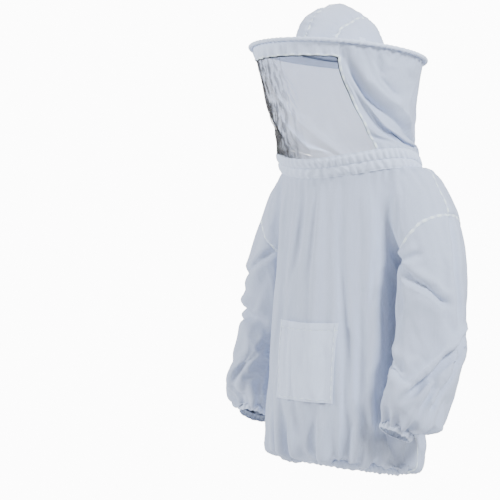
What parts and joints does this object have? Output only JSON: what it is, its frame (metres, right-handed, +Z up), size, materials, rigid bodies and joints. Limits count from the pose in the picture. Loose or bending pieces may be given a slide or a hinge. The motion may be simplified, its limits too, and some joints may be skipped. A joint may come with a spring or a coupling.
{
  "type": "beekeeping smock with hat and veil",
  "caption": "Pullover beekeeper's smock with a round hooped hat, a black net window in its veil, elastic neck, cuffs and hem, and a front patch pocket.",
  "frame": {"origin": "centre of the neck opening, where the garment rests on the wearer's neck and shoulders", "axes": "+Z up along the wearer's body, -Y towards the wearer's front, +X towards the wearer's left"},
  "size_m": [0.6414, 0.3972, 1.0354],
  "materials": {
    "smock_cloth": "matt woven polycotton",
    "pocket_cloth": "matt woven polycotton",
    "hat_cloth": "matt woven polycotton",
    "sweatband_cloth": "matt brushed cotton",
    "black_net": "open net",
    "elastic": "braided elastic",
    "spring_steel": "drawn wire"
  },
  "bodies": {
    "smock": {"window_top_band": "smock_cloth", "mesh_window": "black_net", "left_window_binding": "smock_cloth", "right_window_binding": "smock_cloth", "left_hood_panel": "smock_cloth", "right_hood_panel": "smock_cloth", "collar_casing": "smock_cloth", "collar_elastic": "elastic", "neck_facing": "smock_cloth", "front_panel": "smock_cloth", "back_panel": "smock_cloth", "pocket": "pocket_cloth", "pocket_hem": "pocket_cloth", "hem_casing": "smock_cloth", "hem_elastic": "elastic"},
    "hat": {"crown_left_top_panel": "hat_cloth", "crown_right_top_panel": "hat_cloth", "crown_left_side_panel": "hat_cloth", "crown_right_side_panel": "hat_cloth", "sweatband": "sweatband_cloth", "brim_top_cloth": "hat_cloth", "brim_under_cloth": "hat_cloth", "brim_hoop": "spring_steel", "hoop_ferrule": "spring_steel", "brim_piping": "hat_cloth"},
    "left_sleeve": {"left_sleeve": "smock_cloth", "left_cuff_casing": "smock_cloth", "left_cuff_elastic": "elastic"},
    "right_sleeve": {"right_sleeve": "smock_cloth", "right_cuff_casing": "smock_cloth", "right_cuff_elastic": "elastic"}
  },
  "joints": [
    {"name": "hat_turn", "type": "hinge", "parent": "smock", "child": "hat", "pos_m": [0, -0.03, 0.225], "axis": [0, 0.1167, 0.9932], "range_deg": [-30, 30]},
    {"name": "left_sleeve_lift", "type": "hinge", "parent": "smock", "child": "left_sleeve", "pos_m": [0.265, 0.038, -0.117], "axis": [0, -1, 0], "range_deg": [0, 40]},
    {"name": "right_sleeve_lift", "type": "hinge", "parent": "smock", "child": "right_sleeve", "pos_m": [-0.265, 0.038, -0.117], "axis": [0, 1, 0], "range_deg": [0, 40]}
  ]
}
